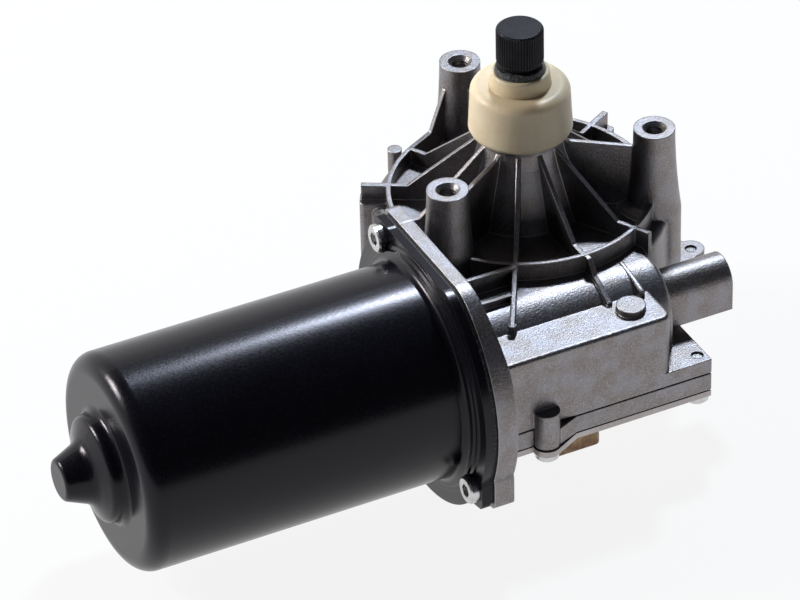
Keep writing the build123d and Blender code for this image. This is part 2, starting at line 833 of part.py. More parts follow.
# Plastic collar, a cup over the hub with a neck round the shaft
collar_z = hub_z + collar_gap
with BuildPart() as shaft_collar:
    with BuildSketch(Plane.XZ):
        with BuildLine():
            Polyline(
                (shaft_r, collar_cup_z),
                (collar_cup_r, collar_cup_z),
                (collar_cup_r, collar_z),
                (collar_r - 0.5, collar_z),
                (collar_r, collar_z + 1),
                (collar_top_r, collar_top_z - 2.6),
            )
            RadiusArc((collar_top_r, collar_top_z - 2.6), (collar_top_r - 2.6, collar_top_z), -2.6)
            Polyline(
                (collar_top_r - 2.6, collar_top_z),
                (collar_neck_r, collar_top_z - 0.3),
                (collar_neck_top_r, collar_neck_z - 0.3),
                (collar_neck_top_r - 0.3, collar_neck_z),
                (seal_r, collar_neck_z),
                (seal_r, collar_neck_z - 1.2),
                (shaft_r, collar_neck_z - 1.2),
                (shaft_r, collar_cup_z),
            )
        make_face()
    revolve(axis=Axis.Z)
save(shaft_collar, "shaft_collar")

# Rubber ring in the collar's mouth
with BuildPart() as collar_seal:
    with BuildSketch(Plane.XZ):
        with BuildLine():
            Polyline(
                (shaft_r, collar_neck_z - 1.2),
                (seal_r, collar_neck_z - 1.2),
                (seal_r, collar_neck_z + 0.5),
                (seal_r - 0.4, shaft_head_z - 0.4),
                (shaft_r - 0.5, shaft_head_z - 0.4),
                (shaft_r - 0.5, shaft_head_z - 1.6),
                (shaft_r, shaft_head_z - 1.6),
                close=True,
            )
        make_face()
    revolve(axis=Axis.Z)
save(collar_seal, "collar_seal")

# Worm wheel: straight slots, tilted by the lead angle of the worm
wheel_out_r = wheel_pitch_r + addendum
slot_dir = (sin(lead_angle), 0, cos(lead_angle))
slot_flank = tan(radians(pressure_angle))
slot_half = (pitch / 2 + backlash) / 2
with BuildPart() as tooth_slot:
    with BuildSketch(Plane(origin=(0, -wheel_pitch_r, motor_z), x_dir=(0, -1, 0), z_dir=slot_dir)):
        with BuildLine():
            Polyline(
                (-dedendum, -slot_half + dedendum * slot_flank),
                (addendum + 1, -slot_half - (addendum + 1) * slot_flank),
                (addendum + 1, slot_half + (addendum + 1) * slot_flank),
                (-dedendum, slot_half - dedendum * slot_flank),
                close=True,
            )
        make_face()
    extrude(amount=wheel_face, both=True)

with BuildPart() as worm_wheel:
    with BuildSketch(Plane.XZ):
        with BuildLine():
            Polyline(
                (shaft_r, motor_z + wheel_face / 2 + 2),
                (12, motor_z + wheel_face / 2 + 2),
                (13, motor_z + 3),
                (27.5, motor_z + 3),
                (28.5, motor_z + wheel_face / 2),
                (wheel_out_r, motor_z + wheel_face / 2),
                (wheel_out_r, motor_z - wheel_face / 2),
                (28.5, motor_z - wheel_face / 2),
                (27.5, motor_z - 3),
                (13, motor_z - 3),
                (12, motor_z - wheel_face / 2 - 3),
                (shaft_r, motor_z - wheel_face / 2 - 3),
                close=True,
            )
        make_face()
    revolve(axis=Axis.Z)
    with PolarLocations(0, tooth_count):
        add(tooth_slot.part, mode=Mode.SUBTRACT)
save(worm_wheel, "worm_wheel")

# Park disc: contact track pressed into the underside of the wheel
park_under_z = motor_z - 3 - 0.8
with BuildPart() as park_disc:
    with BuildSketch(Plane.XY.offset(park_under_z)):
        Circle(26.5)
        Circle(14, mode=Mode.SUBTRACT)
        with Locations((22, 0)):
            Rectangle(5, 9, mode=Mode.SUBTRACT)
    extrude(amount=0.8)
save(park_disc, "park_disc")

# Armature shaft with the worm
# The thread starts on top, three quarters of a turn before it meets a slot of the wheel
worm_half = worm_turns * pitch / 2
thread_x = (0.25 - worm_turns / 2) * pitch
thread_half = (pitch / 2 - backlash / 2) / 2
shaft_start_x = snout_end_x + can_wall + 1
shaft_stop_x = nose_end_x - 6
with BuildPart() as armature_shaft:
    with BuildSketch(axis_plane()):
        with BuildLine():
            Polyline(
                (shaft_start_x, 0),
                (shaft_start_x, journal_r),
                (rear_bearing_x + bearing_t, journal_r),
                (rear_bearing_x + bearing_t, armature_r),
                (-worm_half - 4, armature_r),
                (-worm_half - 3, worm_root_r),
                (worm_half + 3, worm_root_r),
                (worm_half + 4, journal_r),
                (shaft_stop_x, journal_r),
                (shaft_stop_x, 0),
                close=True,
            )
        make_face()
    revolve(axis=motor_axis)
    with BuildLine() as thread_path:
        Helix(pitch, worm_turns * pitch, worm_pitch_r, center=(thread_x, motor_y, motor_z), direction=(1, 0, 0))
    with BuildSketch(Plane(origin=(thread_x, motor_y, motor_z), x_dir=(0, 0, 1), z_dir=(0, -1, 0))):
        with BuildLine():
            Polyline(
                (worm_root_r - 0.15, thread_half + dedendum * slot_flank),
                (worm_pitch_r + addendum, thread_half - addendum * slot_flank),
                (worm_pitch_r + addendum, -thread_half + addendum * slot_flank),
                (worm_root_r - 0.15, -thread_half - dedendum * slot_flank),
                close=True,
            )
        make_face()
    sweep(path=thread_path.wire(), is_frenet=True)
save(armature_shaft, "armature_shaft")

# Armature core: slotted stack of steel sheets
with BuildPart() as armature_core:
    with BuildSketch(motor_plane(core_start_x)):
        Circle(core_r)
        Circle(armature_r, mode=Mode.SUBTRACT)
        with PolarLocations(slot_mid_r, slot_count):
            RectangleRounded(9, 5, 2, mode=Mode.SUBTRACT)
        with PolarLocations(core_r - 1, slot_count):
            Rectangle(4, 2, mode=Mode.SUBTRACT)
    extrude(amount=core_length)
save(armature_core, "armature_core")

# Copper windings: bars in the slots and a ring at each end
with BuildPart() as armature_windings:
    with BuildSketch(motor_plane(core_start_x - 1)):
        with PolarLocations(slot_mid_r, slot_count):
            RectangleRounded(8.6, 4.6, 1.8)
    extrude(amount=core_length + 2)
    for side, x in ((-1, core_start_x), (1, core_start_x + core_length)):
        with BuildSketch(axis_plane()):
            with BuildLine():
                Polyline(
                    (x, slot_mid_r - 6),
                    (x + side * 7, slot_mid_r - 5),
                    (x + side * 8.5, slot_mid_r - 2.5),
                    (x + side * 8, core_r - 5),
                    (x + side * 5, core_r - 3),
                    (x, core_r - 2),
                    close=True,
                )
            make_face()
        revolve(axis=motor_axis)
save(armature_windings, "armature_windings")

# Commutator
with BuildPart() as commutator:
    with BuildSketch(motor_plane(commutator_x)):
        Circle(commutator_r)
        Circle(armature_r, mode=Mode.SUBTRACT)
        with PolarLocations(commutator_r, slot_count):
            Rectangle(1.6, 0.5, mode=Mode.SUBTRACT)
    extrude(amount=commutator_length)
save(commutator, "commutator")

# Magnets glued inside the can
magnet_x = core_start_x + core_length / 2 - magnet_length / 2
magnet_half = 180 / magnet_count - 8
for index in range(magnet_count):
    angle = index * 360 / magnet_count
    with BuildPart() as magnet:
        with BuildSketch(axis_plane()):
            with Locations((magnet_x, can_in_r - magnet_t)):
                Rectangle(magnet_length, magnet_t, align=(Align.MIN, Align.MIN))
        revolve(axis=motor_axis, revolution_arc=2 * magnet_half)
    turned = magnet.part.rotate(motor_axis, angle - magnet_half)
    turned.label = f"magnet_{index + 1}"
    export_step(turned, f"parts/magnet_{index + 1}.step")

# Bearings on the motor axis
for name, x, length, outer, inner in (
    ("rear_bearing", rear_bearing_x, bearing_t - 1, pocket_r - can_wall - 0.8, journal_r),
    ("front_bearing", bearing_x, bearing_t, bearing_r, armature_r),
    ("worm_end_bush", tube_end_x + 1, 12, nose_r - 1.6, journal_r),
):
    with BuildPart() as bearing:
        with BuildSketch(motor_plane(x)):
            Circle(outer)
            Circle(inner + running_gap, mode=Mode.SUBTRACT)
        extrude(amount=length)
    save(bearing, name)

# Brush plate with two brush boxes, their brushes and springs
plate_x = commutator_x + commutator_length / 2 + brush_w / 2 + 0.4
with BuildPart() as brush_plate:
    with BuildSketch(motor_plane(plate_x)):
        Circle(can_in_r - brush_plate_gap)
        Circle(commutator_r + 1.5, mode=Mode.SUBTRACT)
    extrude(amount=brush_plate_t)
save(brush_plate, "brush_plate")

# Brush boxes on the plate, each with a brush and its spring
brush_x = commutator_x + commutator_length / 2
brush_start = commutator_r + 0.3
box_start = brush_start + 1.5
box_length = can_in_r - brush_box_gap - box_start
for index, side in enumerate((1, -1), start=1):
    across = Plane(origin=(brush_x, motor_y, motor_z), x_dir=(1, 0, 0), z_dir=(0, side, 0))
    with BuildPart() as brush_box:
        with BuildSketch(across.offset(box_start)):
            Rectangle(brush_w + 0.8, brush_h + 2)
            Rectangle(brush_w, brush_h, mode=Mode.SUBTRACT)
        extrude(amount=box_length)
        with BuildSketch(across.offset(box_start + box_length - 1)):
            Rectangle(brush_w + 0.8, brush_h + 2)
        extrude(amount=1)
    save(brush_box, f"brush_box_{index}")
    with BuildPart() as brush:
        with BuildSketch(across.offset(brush_start)):
            Rectangle(brush_w, brush_h)
        extrude(amount=brush_length)
    save(brush, f"brush_{index}")
    spring_start = brush_start + brush_length
    with BuildPart() as brush_spring:
        with BuildSketch(across.offset(spring_start)):
            Circle(2)
            Circle(1.3, mode=Mode.SUBTRACT)
        extrude(amount=box_start + box_length - 1 - spring_start)
    save(brush_spring, f"brush_spring_{index}")

# Contact carrier in the lower case with three springs that ride on the park disc
carrier_z = lower_case_end_z + 1.6
with BuildPart() as contact_carrier:
    with BuildSketch(Plane.XY.offset(carrier_z)):
        with Locations((carrier_x, carrier_y)):
            RectangleRounded(carrier_w, carrier_d, 2)
        with Locations((plug_x, plug_y)):
            RectangleRounded(plug_w + 0.4, plug_d + 0.4, 2, mode=Mode.SUBTRACT)
    extrude(amount=carrier_t)
save(contact_carrier, "contact_carrier")

for index, radius in enumerate(contact_radii, start=1):
    with BuildPart() as contact_spring:
        with BuildSketch(Plane.YZ.offset(carrier_x - 1 + (index - 2) * contact_step)):
            with BuildLine():
                Polyline(
                    (-radius - 8, carrier_z + carrier_t),
                    (-radius - 6, carrier_z + carrier_t),
                    (-radius + 0.6, park_under_z - 0.9),
                    (-radius + 1.6, park_under_z - 0.4),
                    (-radius + 1.0, park_under_z - 0.25),
                    (-radius, park_under_z - 0.3),
                    (-radius - 7, carrier_z + carrier_t + 0.6),
                    (-radius - 8, carrier_z + carrier_t + 0.6),
                    close=True,
                )
            make_face()
        extrude(amount=contact_w)
    save(contact_spring, f"contact_spring_{index}")

# Connector: amber plastic socket that passes down through the base plate
with BuildPart() as connector_housing:
    with BuildSketch(Plane.XY.offset(plug_z)):
        with Locations((plug_x, plug_y)):
            RectangleRounded(plug_w, plug_d, 2)
    extrude(amount=plug_top_z - plug_z)
    with BuildSketch(Plane.XY.offset(plug_z)):
        with Locations((plug_x, plug_y)):
            RectangleRounded(plug_w - 2 * plug_wall, plug_d - 2 * plug_wall, 1)
    extrude(amount=plug_depth, mode=Mode.SUBTRACT)
    with BuildSketch(Plane.XY.offset(plug_z)):
        with Locations((plug_x, plug_y)):
            with GridLocations(blade_step, 1, blade_count, 1):
                Rectangle(blade_t, blade_w)
    extrude(amount=plug_top_z - plug_z, mode=Mode.SUBTRACT)
save(connector_housing, "connector_housing")

for index in range(blade_count):
    x = plug_x + (index - (blade_count - 1) / 2) * blade_step
    with BuildPart() as blade:
        with BuildSketch(Plane.XY.offset(plug_z + blade_recess)):
            with Locations((x, plug_y)):
                Rectangle(blade_t, blade_w)
        extrude(amount=plug_top_z + 1 - plug_z - blade_recess)
        chamfer(blade.edges().group_by(Axis.Z)[0].filter_by(Axis.Y), 0.2)
    save(blade, f"connector_blade_{index + 1}")

# Thrust pad and its set screw at the end of the worm
with BuildPart() as thrust_pad:
    with BuildSketch(motor_plane(shaft_stop_x + running_gap)):
        Circle(nose_r - 1.6)
    extrude(amount=nose_end_x - 3 - shaft_stop_x - running_gap)
save(thrust_pad, "thrust_pad")
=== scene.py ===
import math

import bmesh
import bpy
from mathutils import Matrix, Vector


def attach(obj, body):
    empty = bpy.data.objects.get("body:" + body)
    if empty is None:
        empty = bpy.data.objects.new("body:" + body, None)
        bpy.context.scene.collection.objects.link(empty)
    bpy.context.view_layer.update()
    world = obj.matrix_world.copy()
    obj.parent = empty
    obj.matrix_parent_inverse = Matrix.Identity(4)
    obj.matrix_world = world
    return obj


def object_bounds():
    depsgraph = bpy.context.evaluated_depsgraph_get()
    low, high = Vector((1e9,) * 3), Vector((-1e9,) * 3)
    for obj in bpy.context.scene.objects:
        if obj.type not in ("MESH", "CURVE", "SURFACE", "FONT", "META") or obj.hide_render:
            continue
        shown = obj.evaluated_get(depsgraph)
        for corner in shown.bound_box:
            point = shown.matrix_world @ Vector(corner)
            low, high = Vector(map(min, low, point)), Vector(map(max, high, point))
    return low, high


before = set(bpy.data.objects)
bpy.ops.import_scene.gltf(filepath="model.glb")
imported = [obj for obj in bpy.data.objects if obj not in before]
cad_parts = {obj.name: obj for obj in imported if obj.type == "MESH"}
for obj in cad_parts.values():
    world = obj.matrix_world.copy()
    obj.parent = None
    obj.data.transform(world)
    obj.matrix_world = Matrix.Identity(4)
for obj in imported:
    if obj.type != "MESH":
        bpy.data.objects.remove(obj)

cadLow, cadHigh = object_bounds()
print("frame loaded:", len(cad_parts), "nodes")

mm = 0.001        # metres
samePlace = 1e-6  # metres; places nearer than this are one


def addNode(tree, kind, inputs=None, **settings):
    node = tree.nodes.new("ShaderNode" + kind)
    for key, value in settings.items():
        setattr(node, key, value)
    for key, value in (inputs or {}).items():
        node.inputs[key].default_value = value
    return node


# Shape of every noise, and how far it moves for each seed
noiseShape = dict(roughness=0.55, seedStep=(0.37, 0.11, 0.23))


def noiseField(tree, place, size, detail, seed):
    # Noise with blobs of about the given size in millimetres, centred on 0.5
    shift = addNode(tree, "Mapping", {"Location": [seed * step for step in noiseShape["seedStep"]]})
    tree.links.new(place, shift.inputs["Vector"])
    field = addNode(tree, "TexNoise", {
        "Scale": 1 / (size * mm), "Detail": detail, "Roughness": noiseShape["roughness"],
    })
    tree.links.new(shift.outputs["Vector"], field.inputs["Vector"])
    return field.outputs["Fac"]


def remap(tree, field, low, high, toLow=0.0, toHigh=1.0):
    step = addNode(tree, "MapRange", {
        "From Min": low, "From Max": high, "To Min": toLow, "To Max": toHigh,
    }, interpolation_type="SMOOTHSTEP")
    tree.links.new(field, step.inputs["Value"])
    return step.outputs["Result"]


def multiply(tree, first, second):
    product = addNode(tree, "Math", operation="MULTIPLY")
    for slot, value in enumerate((first, second)):
        if isinstance(value, (int, float)):
            product.inputs[slot].default_value = value
        else:
            tree.links.new(value, product.inputs[slot])
    return product.outputs["Value"]


# A Mix node has its sockets once per kind of value; these are the ones for colour
mixSockets = dict(amount=0, under=6, over=7, result=2)


def blendColour(tree, under, over, amount):
    mix = addNode(tree, "Mix", data_type="RGBA")
    for slot, value in ((mixSockets["under"], under), (mixSockets["over"], over)):
        if isinstance(value, tuple):
            mix.inputs[slot].default_value = (*value, 1)
        else:
            tree.links.new(value, mix.inputs[slot])
    tree.links.new(amount, mix.inputs[mixSockets["amount"]])
    return mix.outputs[mixSockets["result"]]


# Where each field starts and ends, and for edge wear with painted edge highlight also what it gives
# there
fieldSpans = dict(
    patches=(0.35, 0.65), speckles=(0.45, 0.68), gloss=(0.3, 0.7),
    paintedShade=(0.75, 0.25), edges=(0.995, 0.8), wearAndHighlight=(0.25, 0.6, 0.35, 1.0),
)
fieldSamples = dict(paintedShade=6, edges=8)


def edgeField(tree, rounded):
    # 1 along edges, where the rounded normal leaves the true one
    surface = addNode(tree, "NewGeometry")
    dot = addNode(tree, "VectorMath", operation="DOT_PRODUCT")
    tree.links.new(rounded.outputs["Normal"], dot.inputs[0])
    tree.links.new(surface.outputs["Normal"], dot.inputs[1])
    return remap(tree, dot.outputs["Value"], *fieldSpans["edges"])


def finishColour(tree, look, patches, grain, rounded):
    # Colour in patches and speckles, then painted shade darkening corners and recesses, and lighter
    # edges that are partly wear and partly painted highlight
    patched = remap(tree, patches, *fieldSpans["patches"])
    colour = blendColour(tree, look["colour"], look["patchColour"], patched)
    speckles = multiply(tree, remap(tree, grain, *fieldSpans["speckles"]), look["grainAmount"])
    colour = blendColour(tree, colour, look["grainColour"], speckles)
    # Painted shade: ambient occlusion darkens the colour in corners and recesses, where shade falls
    if "paintedShadeColour" in look:
        openness = addNode(
            tree, "AmbientOcclusion", {"Distance": look["paintedShadeReach"] * mm},
            samples=fieldSamples["paintedShade"], only_local=True,
        )
        closed = remap(tree, openness.outputs["AO"], *fieldSpans["paintedShade"])
        paintedShade = multiply(tree, closed, look["paintedShadeAmount"])
        colour = blendColour(tree, colour, look["paintedShadeColour"], paintedShade)
    # Lighter colour along edges: partly edge wear, partly a painted highlight where light catches
    # rounded edges
    if rounded is not None:
        wornAndHighlit = multiply(tree, edgeField(tree, rounded), remap(tree, patches, *fieldSpans["wearAndHighlight"]))
        wornAndHighlit = multiply(tree, wornAndHighlit, look["edgeWearAndHighlightAmount"])
        colour = blendColour(tree, colour, look["edgeWearAndHighlightColour"], wornAndHighlit)
    return colour


def finishNormal(tree, look, patches, grain, rounded):
    # Rounded edges under a broad bump, with a fine one on top
    broad = addNode(tree, "Bump", {"Strength": 1.0, "Distance": look["patchDepth"] * mm})
    tree.links.new(patches, broad.inputs["Height"])
    if rounded is not None:
        tree.links.new(rounded.outputs["Normal"], broad.inputs["Normal"])
    fine = addNode(tree, "Bump", {"Strength": 1.0, "Distance": look["grainDepth"] * mm})
    tree.links.new(grain, fine.inputs["Height"])
    tree.links.new(broad.outputs["Normal"], fine.inputs["Normal"])
    return fine.outputs["Normal"]


def makeFinish(name, look):
    # A look may leave out the painted corner shade, the lighter edges (wear and painted highlight) and
    # extra shader sockets
    finish = bpy.data.materials.new(name)
    finish.use_nodes = True
    tree = finish.node_tree
    shader = tree.nodes["Principled BSDF"]
    place = addNode(tree, "TexCoord").outputs["Object"]
    patches = noiseField(tree, place, look["patchSize"], detail=3, seed=1)
    grain = noiseField(tree, place, look["grainSize"], detail=2, seed=2)
    rounded = None
    if "edgeWearAndHighlightColour" in look:
        radius = {"Radius": look["edgeWidth"] * mm}
        rounded = addNode(tree, "Bevel", radius, samples=fieldSamples["edges"])
    tree.links.new(finishColour(tree, look, patches, grain, rounded), shader.inputs["Base Color"])
    glossiest = look["roughness"] - look["roughSpread"]
    dullest = look["roughness"] + look["roughSpread"]
    rough = remap(tree, grain, *fieldSpans["gloss"], glossiest, dullest)
    tree.links.new(rough, shader.inputs["Roughness"])
    tree.links.new(finishNormal(tree, look, patches, grain, rounded), shader.inputs["Normal"])
    for key, value in look.get("sockets", {}).items():
        shader.inputs[key].default_value = value
    return finish


# One finish per material slot; sizes, depths and widths in millimetres
# The edge colours lighten the edges: partly wear, partly painted highlight
finishLooks = {
    "cast_aluminium": dict(
        colour=(0.245, 0.236, 0.252), patchColour=(0.205, 0.181, 0.170), patchSize=6, patchDepth=0.05,
        grainColour=(0.40, 0.385, 0.405), grainAmount=0.6, grainSize=0.45, grainDepth=0.095,
        # Painted shade darkening the casting's corners and recesses
        paintedShadeColour=(0.07, 0.07, 0.078), paintedShadeReach=4, paintedShadeAmount=0.25,
        edgeWearAndHighlightColour=(0.58, 0.58, 0.61), edgeWidth=0.5, edgeWearAndHighlightAmount=0.7,
        roughness=0.40, roughSpread=0.06, sockets={"Metallic": 0.98},
    ),
    "base_plate": dict(
        colour=(0.46, 0.43, 0.42), patchColour=(0.38, 0.35, 0.34), patchSize=12, patchDepth=0.05,
        grainColour=(0.55, 0.53, 0.52), grainAmount=0.4, grainSize=0.9, grainDepth=0.03,
        edgeWearAndHighlightColour=(0.5, 0.5, 0.5), edgeWidth=0.3, edgeWearAndHighlightAmount=0.6,
        roughness=0.36, roughSpread=0.08, sockets={"Metallic": 0.9},
    ),
    "black_paint": dict(
        colour=(0.003, 0.003, 0.005), patchColour=(0.004, 0.004, 0.007), patchSize=14, patchDepth=0.02,
        grainColour=(0.009, 0.009, 0.012), grainAmount=0.5, grainSize=0.6, grainDepth=0.013,
        edgeWearAndHighlightColour=(0.03, 0.03, 0.035), edgeWidth=0.3, edgeWearAndHighlightAmount=0.4,
        roughness=0.23, roughSpread=0.03, sockets={"IOR": 1.34, "Specular Tint": (0.98, 0.91, 1.0, 1.0)},
    ),
    "seal_rubber": dict(
        colour=(0.012, 0.012, 0.013), patchColour=(0.02, 0.02, 0.021), patchSize=4, patchDepth=0.05,
        grainColour=(0.34, 0.34, 0.36), grainAmount=0.4, grainSize=0.6, grainDepth=0.06,
        roughness=0.55, roughSpread=0.08,
    ),
    "screw_steel": dict(
        colour=(0.62, 0.62, 0.64), patchColour=(0.50, 0.49, 0.47), patchSize=2.5, patchDepth=0.02,
        grainColour=(0.75, 0.75, 0.78), grainAmount=0.5, grainSize=0.3, grainDepth=0.01,
        edgeWearAndHighlightColour=(0.9, 0.9, 0.92), edgeWidth=0.25, edgeWearAndHighlightAmount=0.7,
        roughness=0.24, roughSpread=0.08, sockets={"Metallic": 1.0},
    ),
    "black_steel": dict(
        colour=(0.005, 0.005, 0.008), patchColour=(0.010, 0.010, 0.013), patchSize=5, patchDepth=0.03,
        grainColour=(0.03, 0.03, 0.036), grainAmount=0.5, grainSize=0.5, grainDepth=0.03,
        edgeWearAndHighlightColour=(0.12, 0.12, 0.13), edgeWidth=0.3, edgeWearAndHighlightAmount=0.5,
        roughness=0.40, roughSpread=0.10, sockets={"Metallic": 0.4, "IOR": 1.28},
    ),
    "shaft_steel": dict(
        colour=(0.50, 0.50, 0.52), patchColour=(0.42, 0.42, 0.43), patchSize=6, patchDepth=0.01,
        grainColour=(0.62, 0.62, 0.64), grainAmount=0.5, grainSize=0.4, grainDepth=0.01,
        edgeWearAndHighlightColour=(0.8, 0.8, 0.82), edgeWidth=0.25, edgeWearAndHighlightAmount=0.6,
        roughness=0.26, roughSpread=0.08, sockets={"Metallic": 1.0},
    ),
    "ivory_plastic": dict(
        colour=(0.78, 0.65, 0.45), patchColour=(0.73, 0.59, 0.38), patchSize=11, patchDepth=0.04,
        grainColour=(0.80, 0.71, 0.54), grainAmount=0.3, grainSize=1.2, grainDepth=0.012,
        # Painted shade darkening the collar's corners and recesses
        paintedShadeColour=(0.42, 0.32, 0.17), paintedShadeReach=5, paintedShadeAmount=0.5,
        edgeWearAndHighlightColour=(0.84, 0.76, 0.58), edgeWidth=0.6, edgeWearAndHighlightAmount=0.5,
        roughness=0.43, roughSpread=0.06,
        sockets={
            "Subsurface Weight": 0.25, "Subsurface Radius": (1.0, 0.7, 0.35), "Subsurface Scale": 0.004,
        },
    ),
    "amber_plastic": dict(
        colour=(0.88, 0.60, 0.28), patchColour=(0.46, 0.20, 0.08), patchSize=6, patchDepth=0.08,
        grainColour=(0.92, 0.76, 0.48), grainAmount=0.4, grainSize=0.8, grainDepth=0.02,
        edgeWearAndHighlightColour=(0.74, 0.58, 0.34), edgeWidth=0.5, edgeWearAndHighlightAmount=0.5,
        roughness=0.34, roughSpread=0.06,
        sockets={
            "Subsurface Weight": 0.3, "Subsurface Radius": (1.0, 0.5, 0.2), "Subsurface Scale": 0.003,
        },
    ),
    "dark_plastic": dict(
        colour=(0.03, 0.03, 0.033), patchColour=(0.045, 0.045, 0.048), patchSize=6, patchDepth=0.03,
        grainColour=(0.07, 0.07, 0.07), grainAmount=0.4, grainSize=0.7, grainDepth=0.02,
        roughness=0.5, roughSpread=0.06,
    ),
    "wheel_plastic": dict(
        colour=(0.78, 0.76, 0.70), patchColour=(0.70, 0.67, 0.58), patchSize=8, patchDepth=0.04,
        grainColour=(0.84, 0.83, 0.78), grainAmount=0.4, grainSize=0.9, grainDepth=0.02,
        roughness=0.4, roughSpread=0.08,
        sockets={
            "Subsurface Weight": 0.15, "Subsurface Radius": (1.0, 0.8, 0.6), "Subsurface Scale": 0.003,
        },
    ),
    "bronze": dict(
        colour=(0.50, 0.34, 0.17), patchColour=(0.40, 0.26, 0.13), patchSize=3, patchDepth=0.02,
        grainColour=(0.64, 0.46, 0.26), grainAmount=0.5, grainSize=0.35, grainDepth=0.03,
        edgeWearAndHighlightColour=(0.8, 0.62, 0.38), edgeWidth=0.3, edgeWearAndHighlightAmount=0.6,
        roughness=0.42, roughSpread=0.08, sockets={"Metallic": 1.0},
    ),
    "copper": dict(
        colour=(0.70, 0.34, 0.17), patchColour=(0.55, 0.24, 0.11), patchSize=3, patchDepth=0.02,
        grainColour=(0.84, 0.50, 0.30), grainAmount=0.5, grainSize=0.4, grainDepth=0.03,
        edgeWearAndHighlightColour=(0.9, 0.6, 0.42), edgeWidth=0.25, edgeWearAndHighlightAmount=0.6,
        roughness=0.3, roughSpread=0.08, sockets={"Metallic": 1.0},
    ),
    "tinned_brass": dict(
        colour=(0.68, 0.66, 0.60), patchColour=(0.56, 0.52, 0.44), patchSize=2, patchDepth=0.01,
        grainColour=(0.8, 0.79, 0.75), grainAmount=0.5, grainSize=0.3, grainDepth=0.01,
        edgeWearAndHighlightColour=(0.9, 0.88, 0.84), edgeWidth=0.2, edgeWearAndHighlightAmount=0.5,
        roughness=0.28, roughSpread=0.08, sockets={"Metallic": 1.0},
    ),
    "core_steel": dict(
        colour=(0.26, 0.26, 0.27), patchColour=(0.20, 0.19, 0.18), patchSize=4, patchDepth=0.02,
        grainColour=(0.36, 0.36, 0.37), grainAmount=0.5, grainSize=0.4, grainDepth=0.02,
        edgeWearAndHighlightColour=(0.5, 0.5, 0.52), edgeWidth=0.25, edgeWearAndHighlightAmount=0.5,
        roughness=0.4, roughSpread=0.08, sockets={"Metallic": 1.0},
    ),
    "ferrite": dict(
        colour=(0.07, 0.07, 0.075), patchColour=(0.05, 0.05, 0.052), patchSize=5, patchDepth=0.03,
        grainColour=(0.14, 0.14, 0.14), grainAmount=0.5, grainSize=0.5, grainDepth=0.04,
        edgeWearAndHighlightColour=(0.2, 0.2, 0.2), edgeWidth=0.4, edgeWearAndHighlightAmount=0.5,
        roughness=0.55, roughSpread=0.08,
    ),
    "carbon": dict(
        colour=(0.035, 0.035, 0.036), patchColour=(0.05, 0.05, 0.05), patchSize=3, patchDepth=0.02,
        grainColour=(0.11, 0.11, 0.11), grainAmount=0.5, grainSize=0.3, grainDepth=0.02,
        roughness=0.5, roughSpread=0.08,
    ),
}

finishes = {slot: makeFinish(slot + "_finish", look) for slot, look in finishLooks.items()}
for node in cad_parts.values():
    for slot in node.material_slots:
        slot.material = finishes[slot.material.name]
print("finishes made:", len(finishes))


def pickPoints(piece, wanted):
    # In edit mode: select only the points for which wanted(place) is true
    bpy.ops.mesh.select_mode(type="VERT")
    bpy.ops.mesh.select_all(action="DESELECT")
    mesh = bmesh.from_edit_mesh(piece.data)
    for point in mesh.verts:
        point.select = bool(wanted(point.co))
    mesh.select_flush(True)
    bmesh.update_edit_mesh(piece.data)


def pickFaces(piece, wanted):
    # In edit mode: select only the faces for which wanted(normal) is true
    bpy.ops.mesh.select_mode(type="FACE")
    bpy.ops.mesh.select_all(action="DESELECT")
    mesh = bmesh.from_edit_mesh(piece.data)
    for face in mesh.faces:
        face.select = bool(wanted(face.normal))
    bmesh.update_edit_mesh(piece.data)


def pickAll(kind):
    # In edit mode: select every point, edge or face
    bpy.ops.mesh.select_mode(type=kind)
    bpy.ops.mesh.select_all(action="SELECT")


def placeInMesh():
    # The selected piece goes to the origin, and its mesh keeps its place
    bpy.ops.object.transform_apply(location=True, rotation=True, scale=True)


def keepPiece(piece, name, body, slot, smoothAngle):
    # Name, shading, finish and the body that carries it
    piece.name = name
    piece.data.name = name
    bpy.ops.object.shade_smooth_by_angle(angle=math.radians(smoothAngle))
    piece.data.materials.clear()
    piece.data.materials.append(finishes[slot])
    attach(piece, body)


# Fine teeth around the head of the output shaft; sizes in millimetres
toothedHead = dict(
    teeth=52, tipRadius=6.5, rootRadius=6.2, low=21.3, high=31.3, chamfer=0.35,
    endFacing=0.9, smoothAngle=20,
)


def makeToothedHead(values):
    low, high, chamfer = (values[key] * mm for key in ("low", "high", "chamfer"))
    middle = (0, 0, (low + high) / 2)
    bpy.ops.object.select_all(action="DESELECT")
    bpy.ops.mesh.primitive_cylinder_add(
        vertices=2 * values["teeth"], radius=values["tipRadius"] * mm,
        depth=high - low - 2 * chamfer, location=middle,
    )
    head = bpy.context.object
    placeInMesh()
    bpy.ops.object.mode_set(mode="EDIT")
    # Every second line of points goes in to the root
    step = math.pi / values["teeth"]
    pickPoints(head, lambda place: round(math.atan2(place.y, place.x) / step) % 2 == 1)
    shrink = values["rootRadius"] / values["tipRadius"]
    bpy.ops.transform.resize(value=(shrink, shrink, 1), center_override=middle)
    for side in (1, -1):
        pickFaces(head, lambda normal: normal.z * side > values["endFacing"])
        bpy.ops.mesh.extrude_region_move(TRANSFORM_OT_translate={"value": (0, 0, side * chamfer)})
        bpy.ops.transform.resize(value=(shrink, shrink, 1))
    bpy.ops.object.mode_set(mode="OBJECT")
    keepPiece(head, "shaftTeeth", "output", "black_steel", values["smoothAngle"])


makeToothedHead(toothedHead)
print("shaft teeth made")

# Fin over the worm tube; its outline gives y and z in millimetres
tubeFin = dict(
    middle=10.5, halfWidth=0.75, rounding=0.35, roundingSteps=3, smoothAngle=40,
    outline=(
        (-36.5, -25.9), (-38.1, -25.2), (-43.9, -25.9), (-50.4, -27.3),
        (-50.4, -30.2), (-47, -29.4), (-43.9, -27.6), (-38.1, -26.6),
    ),
)


